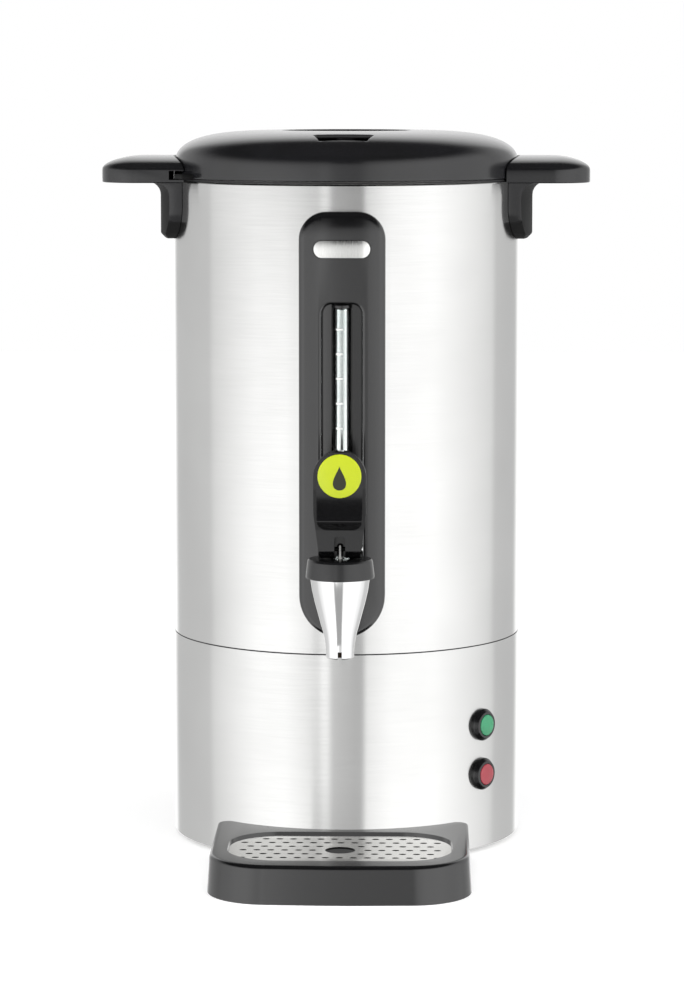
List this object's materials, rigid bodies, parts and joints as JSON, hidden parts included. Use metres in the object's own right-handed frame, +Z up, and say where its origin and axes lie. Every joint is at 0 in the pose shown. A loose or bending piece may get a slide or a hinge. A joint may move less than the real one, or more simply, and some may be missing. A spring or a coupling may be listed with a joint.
{
  "type": "coffee urn",
  "caption": "Steel coffee percolator urn with a twist lid, side handles, sprung tap with sight gauge, pilot lamps and a loose drip tray.",
  "frame": {"origin": "centre of the footprint box, on the table that the feet and the drip tray stand on", "axes": "+Z up, -Y towards the front with the tap, +X to the right seen from the front"},
  "size_m": [0.307, 0.331, 0.4456],
  "materials": {
    "steel": "brushed stainless sheet",
    "polished": "polished chrome-plated",
    "zinc": "plain zinc-plated fasteners",
    "plastic": "satin moulded black",
    "rubber": "matt rubber",
    "silicone": "matt silicone",
    "aluminium": "cast, matt",
    "ceramic": "unglazed",
    "glass": "clear tube",
    "lime": "glossy lime",
    "green": "green lamp lens",
    "red": "red lamp lens"
  },
  "bodies": {
    "urn": {"tank": "steel", "joint_ring": "plastic", "base_shell": "steel", "bottom_plate": "plastic", "feet": "rubber", "tie_studs": "zinc", "tie_nuts": "zinc", "heating_plate": "aluminium", "heating_tube": "steel", "pump_heater": "aluminium", "thermostats": "ceramic", "terminal_block": "ceramic", "power_inlet": "plastic", "inlet_pins": "polished", "inlet_screws": "zinc", "green_bezel": "plastic", "red_bezel": "plastic", "green_lens": "green", "red_lens": "red", "lamp_nuts": "zinc", "handle_left": "plastic", "handle_right": "plastic", "handle_screws": "zinc", "front_panel": "plastic", "badge_plate": "polished", "sight_glass": "glass", "gauge_cap": "plastic", "gauge_fitting": "plastic", "tap_gaskets": "rubber", "tap_nut": "zinc", "tap_body": "polished", "tap_bonnet": "plastic"},
    "tap_valve": {"tap_stem": "polished", "valve_cup": "silicone", "tap_spring": "zinc"},
    "tap_lever": {"lever": "plastic", "lever_pin": "polished", "lever_badge": "lime"},
    "riser_tube": {"riser": "steel"},
    "basket": {"coffee_basket": "steel"},
    "basket_lid": {"spreader": "steel"},
    "seal": {"lid_seal": "rubber"},
    "lid": {"lid_cover": "plastic", "lid_liner": "steel", "lid_screws": "zinc"},
    "tray": {"drip_tray": "plastic"},
    "tray_grid": {"drip_grid": "steel"}
  },
  "joints": [
    {"name": "tap_lift", "type": "slide", "parent": "urn", "child": "tap_valve", "axis": [0, 0, 1], "range_m": [0, 0.005], "stiffness_N_per_m": 900, "springref_m": -0.004, "deforming": ["tap_spring"]},
    {"name": "lever_tilt", "type": "hinge", "parent": "tap_valve", "child": "tap_lever", "pos_m": [0, -0.1095, 0.202], "axis": [1, 0, 0], "range_deg": [0, 60.1]},
    {"name": "riser_lift", "type": "slide", "parent": "urn", "child": "riser_tube", "axis": [0, 0, 1], "range_m": [0, 0.3]},
    {"name": "basket_lift", "type": "slide", "parent": "riser_tube", "child": "basket", "axis": [0, 0, 1], "range_m": [0, 0.11]},
    {"name": "spreader_lift", "type": "slide", "parent": "basket", "child": "basket_lid", "axis": [0, 0, 1], "range_m": [0, 0.04]},
    {"name": "lid_lift", "type": "slide", "parent": "basket_lid", "child": "seal", "axis": [0, 0, 1], "range_m": [0, 0.12]},
    {"name": "lid_twist", "type": "hinge", "parent": "seal", "child": "lid", "pos_m": [0, 0.0525, 0.4166], "axis": [0, 0, -1], "range_deg": [0, 18]},
    {"name": "tray_slide", "type": "slide", "parent": "urn", "child": "tray", "axis": [0, -1, 0], "range_m": [0, 0.15]},
    {"name": "grid_lift", "type": "slide", "parent": "tray", "child": "tray_grid", "axis": [0, 0, 1], "range_m": [0, 0.05]}
  ],
  "couplings": [
    {"joint": "lever_tilt", "follows": "tap_lift", "rad_per_m": 209.44}
  ]
}
